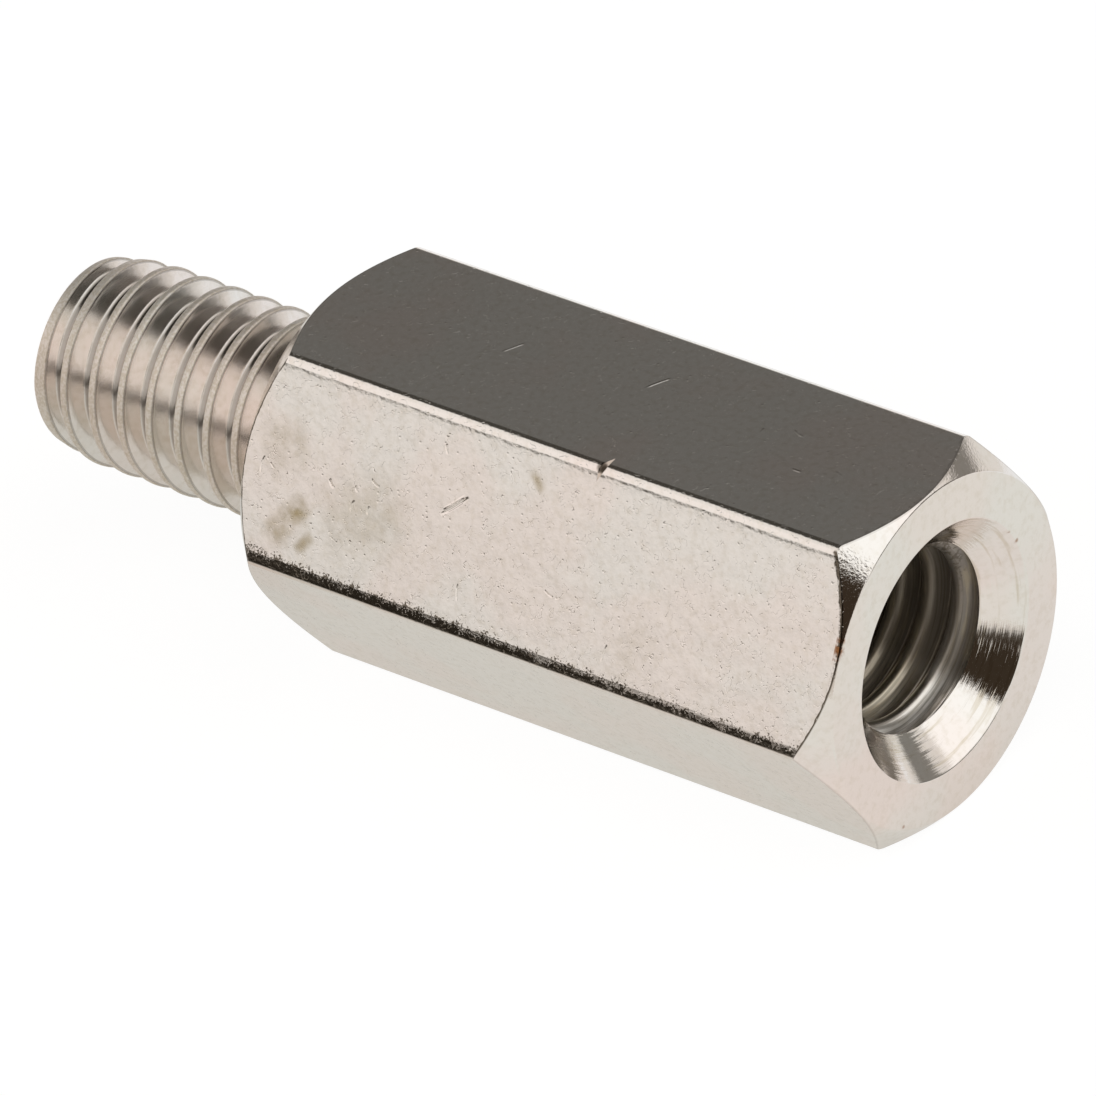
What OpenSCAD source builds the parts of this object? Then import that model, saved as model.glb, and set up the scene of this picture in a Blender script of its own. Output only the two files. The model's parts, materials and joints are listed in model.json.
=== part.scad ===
// Male-female hex standoff: a length of hexagonal bar with a threaded stud turned
// on one end and a blind tapped hole in the other. It lies on one of its flats,
// with its axis along X and its stud towards -X. Millimetres.

/* [Hex body] */
// Width across the flats
across_flats = 10; // [8.5:0.5:13]
// Length between the shoulder and the tapped end
body_len = 20; // [16:1:60]
// Radius of the bar's six long edges
edge_r = 0.35; // [0.1:0.05:0.8]
// How far the flat ring on each turned end stands in from the flats
face_inset = 0.05; // [0:0.05:0.3]
// Slope of the turned corners, from the end face
corner_angle = 45; // [25:1:55]

/* [Thread] */
// Nominal diameter of the thread, on the stud and in the hole
thread_size = 6; // [4:0.5:7]
// Pitch of the thread
pitch = 1; // [0.5:0.05:1.25]

/* [Stud] */
// Length from the shoulder to the tip
stud_len = 9.4; // [6:0.2:20]
// How far the crests stand under the thread's nominal radius
crest_allowance = 0.07; // [0:0.01:0.15]
// Length of the thread's tapered lead
lead_len = 1.3; // [0.5:0.1:2]
// How far the lead brings the crests in
lead_taper = 0.33; // [0.1:0.01:0.5]
// How far the tip's corner reaches in from the end of the lead
tip_corner = 0.5; // [0.2:0.05:0.8]
// Slope of the tip's corner, from the tip's face
tip_angle = 30; // [20:1:60]

/* [Tapped hole] */
// Depth of the full-width hole, from the end face
hole_depth = 13; // [6:0.5:13.5]
// Diameter of the countersink's mouth
mouth_d = 7.36; // [7.1:0.02:8.2]
// Angle between the countersink's sides
mouth_angle = 90; // [60:5:120]
// Angle of the drill point at the hole's bottom
drill_angle = 118; // [90:1:140]

/* [Hidden] */
metal = [0.78, 0.75, 0.71];
corner_count = 6;
corner_step = 360 / corner_count;
round_facets = 128;
edge_facets = 32;
// How far a cutting profile runs past the surface that it cuts
over = 1;
flat_r = across_flats / 2;
corner_r = flat_r / cos(corner_step / 2);
edge_centre_r = (flat_r - edge_r) / cos(corner_step / 2);
chord_r = edge_centre_r + edge_r * cos(corner_step / 2);
face_r = flat_r - face_inset;
blank_r = corner_r + over;
corner_drop = (blank_r - face_r) * tan(corner_angle);
crest_r = thread_size / 2 - crest_allowance;
lead_r = crest_r - lead_taper;
tip_r = lead_r - tip_corner;
tip_drop = tip_corner * tan(tip_angle);
hole_r = (thread_size - pitch) / 2;
mouth_r = mouth_d / 2;
mouth_depth = (mouth_r - hole_r) / tan(mouth_angle / 2);
mouth_over_r = mouth_r + over * tan(mouth_angle / 2);
drill_len = hole_r / tan(drill_angle / 2);

// Hexagon with a corner on X, of a given half width across its flats
module hexagon(apothem) {
    circle(r = apothem / cos(corner_step / 2), $fn = corner_count);
}

// Section of the bar: two opposite flats face along X, and each corner is an arc
module bar_section() {
    intersection() {
        rotate(corner_step / 2) hexagon(flat_r);
        hexagon(chord_r);
    }
    for (i = [0 : corner_count - 1])
        rotate((i + 0.5) * corner_step) translate([edge_centre_r, 0])
            circle(r = edge_r, $fn = edge_facets);
}

// Turned envelope of the body, which cuts the corners of the bar back at both ends
module turned_blank() {
    rotate_extrude($fn = round_facets)
        polygon([
            [0, 0], [face_r, 0], [blank_r, corner_drop],
            [blank_r, body_len - corner_drop], [face_r, body_len], [0, body_len]
        ]);
}

// Stud below the shoulder, over its crests: full thread, tapered lead and tip
module stud() {
    rotate_extrude($fn = round_facets)
        polygon([
            [0, over], [crest_r, over], [crest_r, lead_len + tip_drop - stud_len],
            [lead_r, tip_drop - stud_len], [tip_r, -stud_len], [0, -stud_len]
        ]);
}

// Space of the tapped hole: countersink, full-width hole and drill point
module tapped_hole() {
    translate([0, 0, body_len]) rotate_extrude($fn = round_facets)
        polygon([
            [0, over], [mouth_over_r, over], [hole_r, -mouth_depth],
            [hole_r, -hole_depth], [0, -hole_depth - drill_len]
        ]);
}

// Lays the part on a flat, centred over the origin, with its tapped end towards +X
module lie_down() {
    translate([(stud_len - body_len) / 2, 0, flat_r]) rotate([0, 90, 0]) children();
}

module hex_standoff() {
    color(metal) lie_down() difference() {
        union() {
            intersection() {
                linear_extrude(body_len) bar_section();
                turned_blank();
            }
            stud();
        }
        tapped_hole();
    }
}

hex_standoff();
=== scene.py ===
"""Hex standoff: a nickel-plated hex bar with a threaded stud and a tapped hole.

The part is one turned piece, so its three sub-assemblies (body, stud and hole) are
modelled as solids in millimetres about the X axis, joined into one closed mesh, and
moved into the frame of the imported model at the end.
"""

import json
import logging
import math
from collections.abc import Callable, Iterable, Iterator, Sequence
from contextlib import contextmanager
from dataclasses import dataclass, field
from enum import Enum
from functools import reduce
from itertools import pairwise

import bmesh
import bpy
from mathutils import Matrix, Vector

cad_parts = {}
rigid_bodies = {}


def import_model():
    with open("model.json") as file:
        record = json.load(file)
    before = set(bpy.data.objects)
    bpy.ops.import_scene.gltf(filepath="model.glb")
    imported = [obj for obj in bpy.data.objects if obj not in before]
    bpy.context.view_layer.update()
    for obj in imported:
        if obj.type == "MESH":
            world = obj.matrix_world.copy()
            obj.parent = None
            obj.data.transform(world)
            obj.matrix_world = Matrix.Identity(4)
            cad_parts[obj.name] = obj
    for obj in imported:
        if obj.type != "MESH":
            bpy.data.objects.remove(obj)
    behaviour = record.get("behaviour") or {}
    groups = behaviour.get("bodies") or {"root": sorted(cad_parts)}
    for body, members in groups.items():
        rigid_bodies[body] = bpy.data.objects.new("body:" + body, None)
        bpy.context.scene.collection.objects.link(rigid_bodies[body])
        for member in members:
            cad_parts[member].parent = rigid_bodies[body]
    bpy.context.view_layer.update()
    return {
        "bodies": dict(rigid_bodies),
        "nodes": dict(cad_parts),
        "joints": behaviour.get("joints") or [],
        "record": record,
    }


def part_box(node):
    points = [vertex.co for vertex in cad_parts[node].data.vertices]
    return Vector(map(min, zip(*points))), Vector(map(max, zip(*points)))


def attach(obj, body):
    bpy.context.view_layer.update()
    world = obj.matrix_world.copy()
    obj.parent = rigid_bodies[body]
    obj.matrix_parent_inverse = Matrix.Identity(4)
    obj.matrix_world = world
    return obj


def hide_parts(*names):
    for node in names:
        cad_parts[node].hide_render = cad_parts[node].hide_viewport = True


LOG = logging.getLogger("hex_standoff")
MM = 0.001
WELD = 1e-4
SLACK = 0.001
SOLVERS = ("MANIFOLD", "EXACT", "MANIFOLD")
PLACES = 4
HALF_CORNER = math.pi / 6
NODE = "hex_standoff"

Colour = tuple[float, float, float]
Outline = Sequence[tuple[float, float]]


class Cut(Enum):
    """How one solid acts on another."""

    JOIN = "UNION"
    REMOVE = "DIFFERENCE"
    KEEP_COMMON = "INTERSECT"


class Side(Enum):
    """The side of a plane across the axis that a trim takes off."""

    STUD = -1
    HOLE = 1


# Bench work on solids, in millimetres about the X axis


def deselect_all() -> None:
    """Leaves nothing selected, so that an operator acts on one piece alone."""
    bpy.ops.object.select_all(action="DESELECT")


def take(piece: bpy.types.Object) -> None:
    """Makes one piece the selected and active one."""
    deselect_all()
    piece.select_set(True)
    bpy.context.view_layer.objects.active = piece


@contextmanager
def opened(piece: bpy.types.Object) -> Iterator[None]:
    """Holds a piece open in edit mode, with all of it selected."""
    take(piece)
    bpy.ops.object.mode_set(mode="EDIT")
    bpy.ops.mesh.select_all(action="SELECT")
    yield
    bpy.ops.object.mode_set(mode="OBJECT")


def weld(piece: bpy.types.Object) -> None:
    """Closes the seams and poles of a spun or wound form, and turns its faces out."""
    with opened(piece):
        bpy.ops.mesh.remove_doubles(threshold=WELD)
        bpy.ops.mesh.dissolve_degenerate(threshold=WELD)
        bpy.ops.mesh.select_all(action="SELECT")
        bpy.ops.mesh.normals_make_consistent(inside=False)


def draw_outline(name: str, outline: Outline) -> bpy.types.Object:
    """Draws half the outline of a turned form, point by point, beside the X axis.

    Args:
        name: The new piece's name.
        outline: Points along the axis and out from it.

    Returns:
        The new piece, a line of edges.
    """
    deselect_all()
    bpy.ops.mesh.primitive_plane_add(size=1.0)
    piece = bpy.context.object
    piece.name = name
    with opened(piece):
        bpy.ops.mesh.select_mode(type="VERT")
        bpy.ops.mesh.merge(type="CENTER")
        bpy.ops.transform.translate(value=(*outline[0], 0.0))
        for here, there in pairwise(outline):
            step = (there[0] - here[0], there[1] - here[1], 0.0)
            bpy.ops.mesh.extrude_vertices_move(TRANSFORM_OT_translate={"value": step})
    return piece


def turn(name: str, outline: Outline, steps: int) -> bpy.types.Object:
    """Turns a solid from half its outline.

    Args:
        name: The new piece's name.
        outline: Points along the axis and out from it, which starts and ends on the axis.
        steps: Steps round the full turn.

    Returns:
        The closed solid.
    """
    piece = draw_outline(name, outline)
    with opened(piece):
        bpy.ops.mesh.spin(
            steps=steps, angle=math.tau, center=(0.0, 0.0, 0.0), axis=(1.0, 0.0, 0.0)
        )
    weld(piece)
    return piece


def trim(piece: bpy.types.Object, x: float, side: Side) -> None:
    """Cuts a solid square across the axis and closes the cut.

    Args:
        piece: The solid to cut.
        x: Where the cut is.
        side: Which side of the cut falls away.
    """
    with opened(piece):
        bpy.ops.mesh.bisect(
            plane_co=(x, 0.0, 0.0),
            plane_no=(1.0, 0.0, 0.0),
            use_fill=True,
            clear_inner=side is Side.STUD,
            clear_outer=side is Side.HOLE,
            threshold=WELD,
        )


def closed_volume(piece: bpy.types.Object) -> float:
    """Returns the volume of a solid, or zero where its skin isn't closed."""
    mesh = bmesh.new()
    mesh.from_mesh(piece.data)
    closed = all(edge.is_manifold for edge in mesh.edges)
    volume = mesh.calc_volume() if closed else 0.0
    mesh.free()
    return volume


def is_sound(cut: Cut, piece: float, tool: float, result: float) -> bool:
    """Says whether a step lost a part, did nothing or left the solid open.

    Args:
        cut: What the tool did to the piece.
        piece: The piece's volume before the step.
        tool: The tool's volume.
        result: The piece's volume after the step, or zero where it isn't closed.

    Returns:
        True where the volume is one that the step can leave.
    """
    low, high = {
        Cut.JOIN: (max(piece, tool), piece + tool),
        Cut.REMOVE: (piece - tool, piece),
        Cut.KEEP_COMMON: (0.0, min(piece, tool)),
    }[cut]
    return low + SLACK < result < high - SLACK


def combine(piece: bpy.types.Object, tool: bpy.types.Object, cut: Cut) -> None:
    """Joins a second solid to a piece, or cuts the piece with it, and uses it up.

    A solver can lose a part of a solid by chance, so the result is measured, and the
    step is made again with another solver where it isn't sound.

    Args:
        piece: The solid that stays.
        tool: The solid that is used up.
        cut: What the second solid does to the first.

    Raises:
        RuntimeError: If no solver gives a sound solid.
    """
    volumes = closed_volume(piece), closed_volume(tool)
    before = piece.data
    for solver in SOLVERS:
        piece.data = before.copy()
        take(piece)
        bpy.ops.object.modifier_add(type="BOOLEAN")
        step = piece.modifiers[-1]
        step.operation = cut.value
        step.solver = solver
        step.object = tool
        bpy.ops.object.modifier_apply(modifier=step.name)
        weld(piece)
        result = closed_volume(piece)
        if is_sound(cut, *volumes, result):
            break
        LOG.warning("%s, %s, %s: left %.3f", piece.name, cut.name, solver, result)
    else:
        raise RuntimeError(f"{piece.name}: no solver gives a sound solid")
    take(tool)
    bpy.ops.object.delete()


def pick_edges(piece: bpy.types.Object, wanted: Callable[[bmesh.types.BMEdge], bool]) -> None:
    """Selects the edges of a piece that pass a test, in edit mode.

    Args:
        piece: The piece that is open in edit mode.
        wanted: Says whether an edge is selected.
    """
    bpy.ops.mesh.select_mode(type="EDGE")
    bpy.ops.mesh.select_all(action="DESELECT")
    mesh = bmesh.from_edit_mesh(piece.data)
    for edge in mesh.edges:
        edge.select_set(wanted(edge))
    bmesh.update_edit_mesh(piece.data)


def round_edges(
    piece: bpy.types.Object,
    wanted: Callable[[bmesh.types.BMEdge], bool],
    offset: float,
    segments: int,
) -> None:
    """Rounds the edges of a piece that pass a test.

    Args:
        piece: The piece to work on.
        wanted: Says whether an edge is rounded.
        offset: How far from the edge the rounding starts.
        segments: Faces across the rounding.
    """
    with opened(piece):
        pick_edges(piece, wanted)
        bpy.ops.mesh.bevel(
            offset=offset, offset_type="OFFSET", segments=segments, profile=0.5, affect="EDGES"
        )


def around(angle: float, r: float = 1.0) -> Vector:
    """Returns the point at an angle round the axis from +Y, in degrees, and a radius."""
    return Vector((0.0, math.cos(math.radians(angle)), math.sin(math.radians(angle)))) * r


@dataclass(frozen=True)
class ThreadForm:
    """One pitch of a metric thread, as a half outline from root to root.

    Attributes:
        pitch: Distance from crest to crest.
        sharp_r: Radius at which the two flanks would meet in a point.
        crest_r: Radius of the crests.
        crest_half: Half the width of a crest's flat.
        crest_ease: How far under the crest its rounded corner reaches.
        root_r: Radius of the roots.
        root_ease: How far over the root its rounded floor reaches.
        steps: Steps round one turn.
        flank_angle: Slope of the flanks, from a plane across the axis.
        crest_curve: Points of a crest's rounded corner, as shares of its width and depth.
        root_curve: Points of a root's rounded floor, in the same way.
        spare: Turns wound past each end, to be cut off.
    """

    pitch: float
    sharp_r: float
    crest_r: float
    crest_half: float
    crest_ease: float
    root_r: float
    root_ease: float
    steps: int = 96
    flank_angle: float = 30.0
    crest_curve: Outline = ((0.45, 0.12), (0.8, 0.45))
    root_curve: Outline = ((0.22, 0.52), (0.5, 0.84), (0.78, 0.98))
    spare: float = 1.5

    def half_width(self, r: float) -> float:
        """Returns half the width of the ridge's straight-sided part at a radius."""
        return (self.sharp_r - r) * math.tan(math.radians(self.flank_angle))

    def ridge(self) -> list[tuple[float, float]]:
        """Returns the points of one side of a ridge, from its crest to the root."""
        top = self.crest_r - self.crest_ease
        low = self.root_r + self.root_ease
        top_half, low_half = self.half_width(top), self.half_width(low)
        half = self.pitch / 2
        points = [(0.0, self.crest_r), (self.crest_half, self.crest_r)]
        for share, drop in self.crest_curve:
            width = self.crest_half + (top_half - self.crest_half) * share
            points.append((width, self.crest_r - self.crest_ease * drop))
        points.append((top_half, top))
        points.append(((top_half + low_half) / 2, (top + low) / 2))
        points.append((low_half, low))
        for share, drop in self.root_curve:
            width = low_half + (half - low_half) * share
            points.append((width, low - self.root_ease * drop))
        points.append((half, self.root_r))
        return points

    def wind(self, name: str, crest: float, start: float, end: float) -> bpy.types.Object:
        """Winds a right-hand threaded rod.

        Args:
            name: The new piece's name.
            crest: Where along the axis a crest passes over the +Y side.
            start: The rod's end towards the stud.
            end: The rod's end towards the hole.

        Returns:
            The closed rod, cut square at both ends.
        """
        first = crest - self.pitch * math.ceil((crest - start) / self.pitch + self.spare)
        turns = math.ceil((end - first) / self.pitch + self.spare + 1.0)
        side = self.ridge()
        outline = [(first - x, r) for x, r in reversed(side)]
        outline += [(first + x, r) for x, r in side[1:]]
        piece = draw_outline(name, outline)
        bpy.ops.object.modifier_add(type="SCREW")
        helix = piece.modifiers[-1]
        helix.axis = "X"
        helix.angle = math.tau
        helix.screw_offset = self.pitch
        helix.iterations = turns
        helix.steps = helix.render_steps = self.steps
        bpy.ops.object.modifier_apply(modifier=helix.name)
        weld(piece)
        trim(piece, start, Side.STUD)
        trim(piece, end, Side.HOLE)
        weld(piece)
        return piece


@dataclass(frozen=True)
class Lengths:
    """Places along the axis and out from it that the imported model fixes.

    Attributes:
        tip: End of the stud.
        shoulder: Face that the stud stands out of.
        mouth: Face that the hole opens in.
        flat_r: Distance from the axis to a flat.
    """

    tip: float
    shoulder: float
    mouth: float
    flat_r: float

    @classmethod
    def of_frame(cls, frame: dict) -> "Lengths":
        """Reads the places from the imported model's box and record.

        They are rounded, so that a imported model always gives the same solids.


        Returns:
            The places, in millimetres.
        """
        low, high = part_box(NODE)
        mounts = {m["name"]: m for m in frame["record"]["mounts"]}
        return cls(
            tip=round(low.x / MM, PLACES),
            shoulder=round(mounts["shoulder"]["pos_m"][0] / MM, PLACES),
            mouth=round(high.x / MM, PLACES),
            flat_r=round((high.z - low.z) / 2 / MM, PLACES),
        )


@dataclass
class HexBody:
    """The length of hex bar, with its drawn edges and its turned corners.

    Attributes:
        at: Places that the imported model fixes.
        edge_r: Radius of the long edges.
        edge_segments: Faces across one of them.
        face_inset: How far the flat ring on each end stands in from the flats.
        corner_angle: Slope of the turned corners, from the end face.
        corner_reach: How far out the turned corners are cut, over the distance to a flat.
        rim_ease: Rounding of the rim of the flat ring on each end.
        rim_curve: The middle point of that rounding, as shares of it.
        worn_corner: Angle round the axis of the long edge that is worn to a strip.
        worn_width: Width of that strip, on the flat above the edge.
        worn_tilt: How far the strip leans from that flat.
        worn_r: Radius of the edge that is left under the strip.
        sharp: Angle between two faces, in radians, over which they meet in an edge.
        beside: Angle round the axis, in radians, within which an edge is the worn one.
        spare: How much longer the bar is at each end before its ends are turned.
        steps: Steps round a turned form.
    """

    at: Lengths
    edge_r: float = 0.35
    edge_segments: int = 12
    face_inset: float = 0.05
    corner_angle: float = 45.0
    corner_reach: float = 0.3
    rim_ease: float = 0.03
    rim_curve: tuple[float, float] = (0.25, 0.02)
    worn_corner: float = 180.0
    worn_width: float = 0.34
    worn_tilt: float = 7.0
    worn_r: float = 0.1
    sharp: float = 0.5
    beside: float = 0.2
    spare: float = 0.5
    steps: int = 240

    def build(self) -> bpy.types.Object:
        """Returns the bar, cut to length, with its long edges and ends finished."""
        bar = self.cut_bar()
        self.wear_edge(bar)
        self.round_long_edges(bar)
        combine(bar, self.turned_envelope(), Cut.KEEP_COMMON)
        return bar

    def cut_bar(self) -> bpy.types.Object:
        """Returns a sharp-edged length of hex bar."""
        deselect_all()
        bpy.ops.mesh.primitive_cylinder_add(
            vertices=6,
            radius=self.at.flat_r / math.cos(HALF_CORNER),
            depth=self.at.mouth - self.at.shoulder + 2 * self.spare,
            location=((self.at.mouth + self.at.shoulder) / 2, 0.0, 0.0),
            rotation=(0.0, math.pi / 2, 0.0),
        )
        bar = bpy.context.object
        bar.name = NODE + "_body"
        bpy.ops.object.transform_apply(location=True, rotation=True, scale=True)
        return bar

    def wear_edge(self, bar: bpy.types.Object) -> None:
        """Takes a shallow strip off the flat beside the worn edge.

        Args:
            bar: The sharp-edged bar.
        """
        flat = self.worn_corner - 30.0
        half_side = self.at.flat_r * math.tan(HALF_CORNER)
        place = around(flat, self.at.flat_r)
        place += around(flat + 90.0, half_side - self.worn_width)
        lean = around(flat + self.worn_tilt)
        with opened(bar):
            bpy.ops.mesh.bisect(
                plane_co=place, plane_no=lean, use_fill=True, clear_outer=True, threshold=WELD
            )

    def round_long_edges(self, bar: bpy.types.Object) -> None:
        """Rounds the long edges: five as drawn, and a tighter one under the worn strip.

        Args:
            bar: The bar with its worn strip.
        """
        worn = around(self.worn_corner)

        def is_long(edge: bmesh.types.BMEdge) -> bool:
            """Says whether an edge runs along the bar between two flats."""
            along = edge.verts[0].co - edge.verts[1].co
            return abs(along.x) > self.at.flat_r and edge.calc_face_angle(0.0) > self.sharp

        def is_worn(edge: bmesh.types.BMEdge) -> bool:
            """Says whether a long edge is the one under the worn strip."""
            out = edge.verts[0].co.copy()
            out.x = 0.0
            return out.angle(worn) < self.beside

        drawn = self.edge_r * math.tan(HALF_CORNER)
        left = self.worn_r * math.tan(HALF_CORNER - math.radians(self.worn_tilt) / 2)
        round_edges(bar, lambda e: is_long(e) and not is_worn(e), drawn, self.edge_segments)
        round_edges(bar, lambda e: is_long(e) and is_worn(e), left, self.edge_segments // 2)

    def turned_envelope(self) -> bpy.types.Object:
        """Returns the turned form that cuts the bar's corners back at both ends."""
        face_r = self.at.flat_r - self.face_inset
        rise = math.radians(self.corner_angle)
        out = self.at.flat_r * self.corner_reach
        ease = self.rim_ease
        start = [
            (0.0, 0.0),
            (0.0, face_r - ease),
            (ease * self.rim_curve[0], face_r + ease * self.rim_curve[1]),
            (ease, face_r + ease / math.tan(rise)),
            (out * math.tan(rise), face_r + out),
        ]
        outline = [(self.at.shoulder + x, r) for x, r in start]
        outline += [(self.at.mouth - x, r) for x, r in reversed(start)]
        return turn("envelope", outline, self.steps)


@dataclass
class Nick:
    """A nick knocked across one long edge, as the three-sided punch that leaves it.

    Attributes:
        x: Where it is along the axis.
        corner: Angle round the axis of the edge that it crosses.
        apex_r: Distance from the axis to that edge.
        depth: How deep it goes under the edge.
        size: Distance from the punch's middle to its corners.
        length: Length of the punch.
        skew: How far it is turned from a line square across the edge.
    """

    x: float = 6.17
    corner: float = 120.0
    apex_r: float = 5.719
    depth: float = 0.17
    size: float = 0.34
    length: float = 1.0
    skew: float = 14.0

    def punch(self, body: bpy.types.Object) -> None:
        """Knocks the nick into a body.

        Args:
            body: The solid whose edge it crosses.
        """
        inwards = -around(self.corner)
        turned = Matrix.Rotation(math.radians(self.skew), 3, inwards)
        along = turned @ around(self.corner + 90.0)
        axes = Matrix((inwards.cross(along), inwards, along)).transposed()
        middle = around(self.corner, self.apex_r - self.depth + self.size)
        middle.x = self.x
        deselect_all()
        bpy.ops.mesh.primitive_cylinder_add(
            vertices=3,
            radius=self.size,
            depth=self.length,
            location=middle,
            rotation=axes.to_euler(),
        )
        tool = bpy.context.object
        bpy.ops.object.transform_apply(location=True, rotation=True, scale=True)
        combine(body, tool, Cut.REMOVE)


@dataclass
class ThreadedStud:
    """The stud: its thread, its tapered lead and the corner of its tip.

    Attributes:
        at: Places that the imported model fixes.
        thread: The thread's form.
        crest_at: Where a crest passes over the +Y side, from the shoulder.
        lead_len: Length over which the crests taper towards the tip.
        lead_taper: How much lower the crests are at the tip.
        tip_corner: How far the tip's corner is cut back from the crests.
        tip_angle: Slope of that corner, from the tip's face.
        root_in_body: How far the stud reaches into the body that it is joined to.
        spare: How much longer the threaded rod is at the tip before the tip is turned.
        clear: How far a form stands clear of what it is not to touch.
        steps: Steps round a turned form.
    """

    at: Lengths
    thread: ThreadForm = field(
        default_factory=lambda: ThreadForm(
            pitch=1.0,
            sharp_r=3.094,
            crest_r=2.93,
            crest_half=0.035,
            crest_ease=0.05,
            root_r=2.388,
            root_ease=0.09,
            flank_angle=28.0,
        )
    )
    crest_at: float = -3.358
    lead_len: float = 1.3
    lead_taper: float = 0.26
    tip_corner: float = 0.5
    tip_angle: float = 30.0
    root_in_body: float = 1.0
    spare: float = 0.4
    clear: float = 0.3
    steps: int = 192

    def build(self) -> bpy.types.Object:
        """Returns the threaded stud, with its foot inside the body."""
        end = self.at.shoulder + self.root_in_body
        stud = self.thread.wind(
            NODE + "_stud",
            crest=self.at.shoulder + self.crest_at,
            start=self.at.tip - self.spare,
            end=end,
        )
        combine(stud, self.lead_envelope(end), Cut.KEEP_COMMON)
        return stud

    def lead_envelope(self, end: float) -> bpy.types.Object:
        """Makes the turned form that tapers the lead and the tip.

        Args:
            end: Where the form ends, inside the body.

        Returns:
            The closed form.
        """
        crest_r = self.thread.crest_r
        lead_r = crest_r - self.lead_taper
        tip_r = lead_r - self.tip_corner
        lead = self.at.tip + self.tip_corner * math.tan(math.radians(self.tip_angle))
        slope = self.lead_taper / self.lead_len
        outline = [
            (self.at.tip, 0.0),
            (self.at.tip, tip_r),
            (lead, lead_r),
            (lead + (self.lead_taper + self.clear) / slope, crest_r + self.clear),
            (end + self.clear, crest_r + self.clear),
            (end + self.clear, 0.0),
        ]
        return turn("lead", outline, self.steps)


@dataclass
class TappedHole:
    """The tapped hole: countersink, thread and drill point, as the tools that cut it.

    Attributes:
        at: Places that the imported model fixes.
        thread: The thread's form, as the tap has it.
        crest_at: Where the tap's crest passes over the +Y side, from the mouth.
        depth: Depth of the hole before its drill point.
        thread_depth: Depth of the thread.
        mouth_r: Radius of the countersink's mouth.
        mouth_angle: Full angle of the countersink.
        drill_angle: Full angle of the drill point.
        rim_ease: Rounding of the countersink's rim.
        run_in: Length over which the thread fades out at its deep end.
        lead_r: Radius that it fades to there, over that of its roots.
        clear: How far a full thread stays inside the form that tapers it.
        exit_r: Radius that the thread is held to where it meets the countersink.
        exit_from: Depth at which it starts to narrow to that radius.
        exit_to: Depth at which it has narrowed.
        core_gap: How far the drill stays inside the thread's roots.
        over: How far the tools reach past the mouth.
        steps: Steps round a turned form.
    """

    at: Lengths
    thread: ThreadForm = field(
        default_factory=lambda: ThreadForm(
            pitch=1.0,
            sharp_r=3.128,
            crest_r=3.03,
            crest_half=0.03,
            crest_ease=0.03,
            root_r=2.5,
            root_ease=0.17,
        )
    )
    crest_at: float = -0.02
    depth: float = 13.0
    thread_depth: float = 11.0
    mouth_r: float = 3.68
    mouth_angle: float = 90.0
    drill_angle: float = 118.0
    rim_ease: float = 0.02
    run_in: float = 1.5
    lead_r: float = 0.9
    clear: float = 0.1
    exit_r: float = 2.74
    exit_from: float = 1.35
    exit_to: float = 0.93
    core_gap: float = 0.01
    over: float = 1.0
    steps: int = 192

    def cut_into(self, body: bpy.types.Object) -> None:
        """Drills, countersinks and taps a body.

        Args:
            body: The solid that the hole is cut in.
        """
        combine(body, self.tap(), Cut.REMOVE)
        combine(body, self.drill(), Cut.REMOVE)

    def tap(self) -> bpy.types.Object:
        """Returns the solid of the tap, tapered at its deep end and held in at the mouth."""
        mouth, form = self.at.mouth, self.thread
        end = mouth - self.thread_depth
        past = self.over / 2
        full_r = form.crest_r + self.clear
        tap = form.wind("tap", crest=mouth + self.crest_at, start=end, end=mouth + past)
        outline = [
            (end - past, 0.0),
            (end - past, form.root_r * self.lead_r),
            (end + self.run_in, full_r),
            (mouth - self.exit_from, full_r),
            (mouth - self.exit_to, self.exit_r),
            (mouth + self.over, self.exit_r),
            (mouth + self.over, 0.0),
        ]
        combine(tap, turn("tap_taper", outline, self.steps), Cut.KEEP_COMMON)
        return tap

    def drill(self) -> bpy.types.Object:
        """Returns the solid of the drill and the countersink, turned as one."""
        mouth = self.at.mouth
        core_r = self.thread.root_r - self.core_gap
        half = math.radians(self.mouth_angle / 2)
        sink = (self.mouth_r - core_r) / math.tan(half)
        point = core_r / math.tan(math.radians(self.drill_angle / 2))
        outline = [
            (mouth - self.depth - point, 0.0),
            (mouth - self.depth, core_r),
            (mouth - sink, core_r),
            (mouth - self.rim_ease, self.mouth_r - self.rim_ease * math.tan(half)),
            (mouth, self.mouth_r + self.rim_ease),
            (mouth + self.over, self.mouth_r + self.over),
            (mouth + self.over, 0.0),
        ]
        return turn("drill", outline, self.steps)


# Finishes and the studio


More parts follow.
